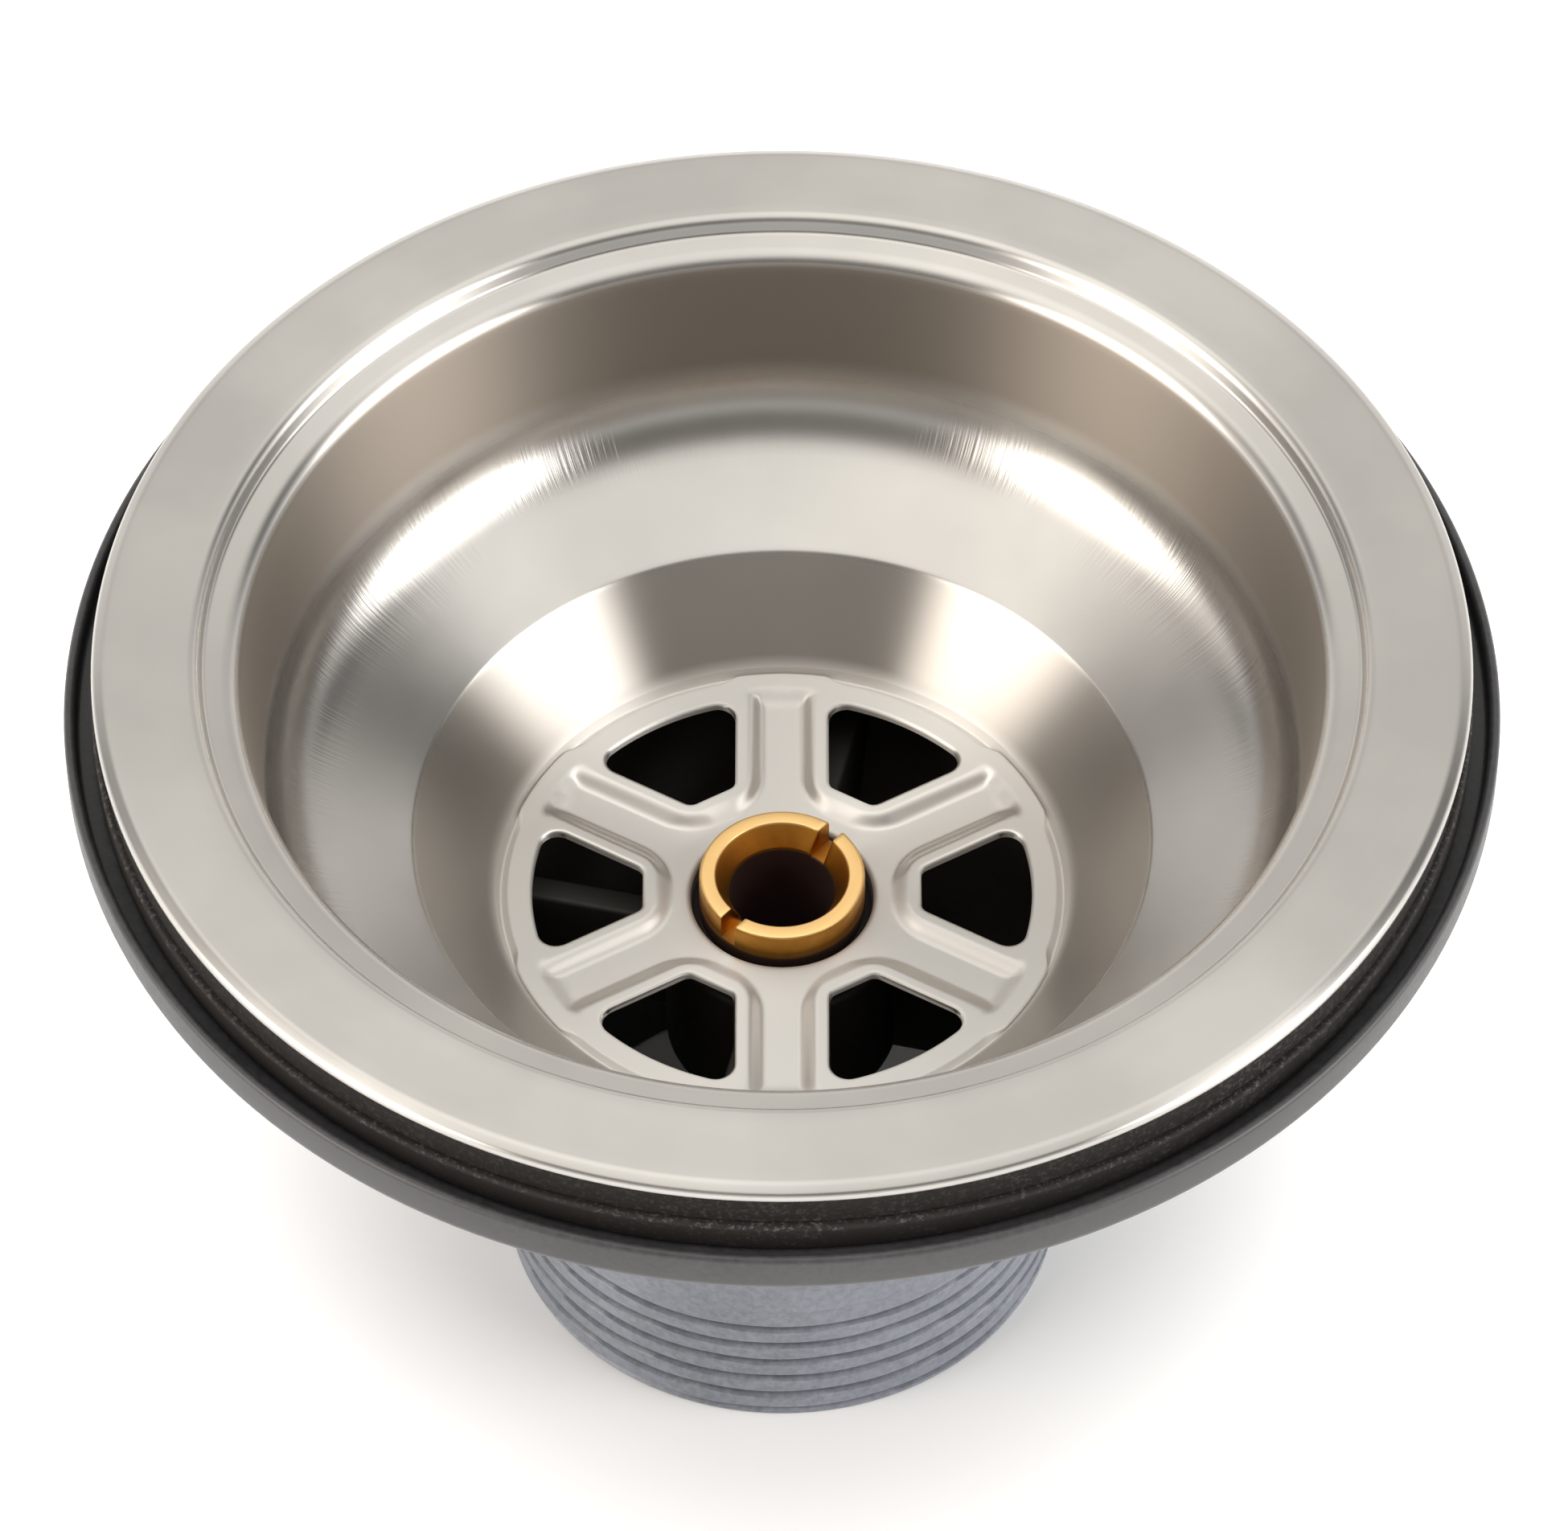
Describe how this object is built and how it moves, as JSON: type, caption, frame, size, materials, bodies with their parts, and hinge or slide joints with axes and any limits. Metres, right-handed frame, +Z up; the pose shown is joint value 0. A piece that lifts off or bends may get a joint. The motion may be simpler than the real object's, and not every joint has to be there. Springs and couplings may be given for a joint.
{
  "type": "sink strainer",
  "caption": "Kitchen sink waste: pressed steel strainer bowl with a grid, clamped by a slotted hollow brass screw through rubber gaskets to a grey plastic funnel with a threaded outlet",
  "frame": {"origin": "centre of the outlet's lower end, on the part's axis, where it stands in the picture", "axes": "+Z up along the axis from outlet to steel rim, -Y toward the picture's camera, +X to the picture's right, through the middle of a grid opening"},
  "size_m": [0.116, 0.116, 0.073],
  "materials": {
    "satin_steel": "satin pressed",
    "black_rubber": "matte",
    "grey_plastic": "moulded satin",
    "brass": "turned"
  },
  "bodies": {
    "body": {"waste_body": "grey_plastic", "threaded_insert": "brass", "lower_gasket": "black_rubber"},
    "bowl": {"strainer_bowl": "satin_steel", "upper_gasket": "black_rubber"},
    "bush": {"fixing_bush": "brass"}
  },
  "joints": [
    {"name": "clamp_slide", "type": "slide", "parent": "body", "child": "bowl", "axis": [0, 0, 1], "range_m": [0, 0.008]},
    {"name": "bush_turn", "type": "hinge", "parent": "bowl", "child": "bush", "pos_m": [0, 0, 0.0393], "axis": [0, 0, 1], "range_deg": [0, 1925]}
  ],
  "couplings": [
    {"joint": "bush_turn", "follows": "clamp_slide", "rad_per_m": 4188.8}
  ]
}
